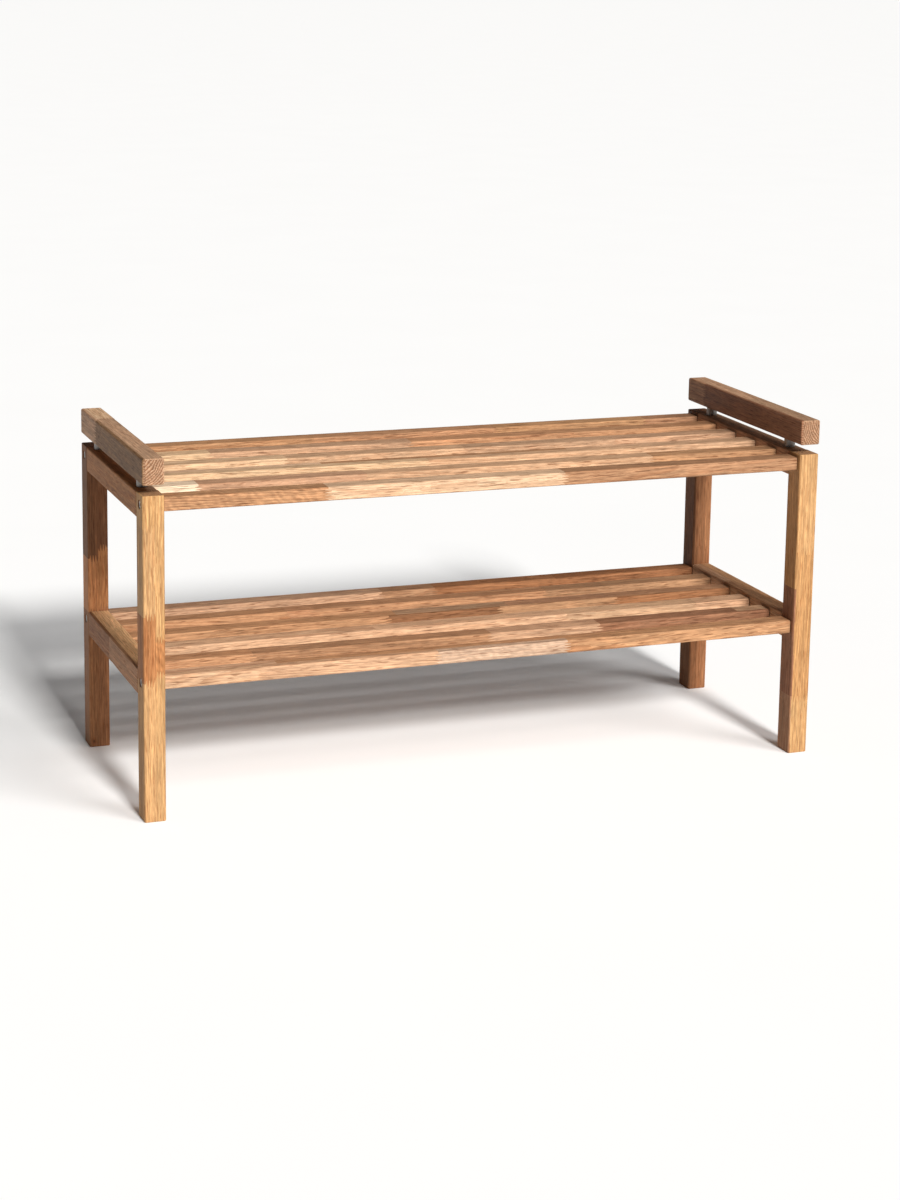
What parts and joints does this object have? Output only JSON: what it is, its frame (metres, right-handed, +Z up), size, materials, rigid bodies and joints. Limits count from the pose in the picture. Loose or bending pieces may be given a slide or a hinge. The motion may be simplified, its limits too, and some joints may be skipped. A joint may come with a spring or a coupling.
{
  "type": "entryway bench",
  "caption": "Slatted wooden entryway bench with a slatted shoe shelf below the seat and a raised arm bar on metal spacers at each end.",
  "frame": {"origin": "centre of the footprint, on the floor under the four feet", "axes": "+X to the right along the bench as seen from its front, +Y from the front to the back, +Z up"},
  "size_m": [1, 0.375, 0.5],
  "materials": {
    "frame_oak": "oiled oak staves, satin",
    "slat_oak": "oiled oak staves, satin",
    "arm_oak": "oiled oak staves, satin",
    "spacer_steel": "brushed",
    "bolt_steel": "zinc plated, satin",
    "insert_brass": "plain",
    "dowel_beech": "raw beech, matt"
  },
  "bodies": {
    "root": {"leg_front_left": "frame_oak", "leg_front_right": "frame_oak", "leg_rear_left": "frame_oak", "leg_rear_right": "frame_oak", "seat_rail_left": "frame_oak", "seat_rail_right": "frame_oak", "shelf_rail_left": "frame_oak", "shelf_rail_right": "frame_oak", "seat_slat_1": "slat_oak", "seat_slat_2": "slat_oak", "seat_slat_3": "slat_oak", "seat_slat_4": "slat_oak", "seat_slat_5": "slat_oak", "seat_slat_6": "slat_oak", "shelf_slat_1": "slat_oak", "shelf_slat_2": "slat_oak", "shelf_slat_3": "slat_oak", "shelf_slat_4": "slat_oak", "shelf_slat_5": "slat_oak", "shelf_slat_6": "slat_oak", "arm_bar_left": "arm_oak", "arm_bar_right": "arm_oak", "arm_spacer_front_left": "spacer_steel", "arm_spacer_front_right": "spacer_steel", "arm_spacer_rear_left": "spacer_steel", "arm_spacer_rear_right": "spacer_steel", "arm_bolts": "bolt_steel", "seat_bolts": "bolt_steel", "shelf_bolts": "bolt_steel", "seat_barrel_nuts": "bolt_steel", "shelf_barrel_nuts": "bolt_steel", "arm_inserts": "insert_brass", "seat_rail_dowels": "dowel_beech", "shelf_rail_dowels": "dowel_beech", "seat_slat_dowels": "dowel_beech", "shelf_slat_dowels": "dowel_beech"}
  },
  "joints": []
}
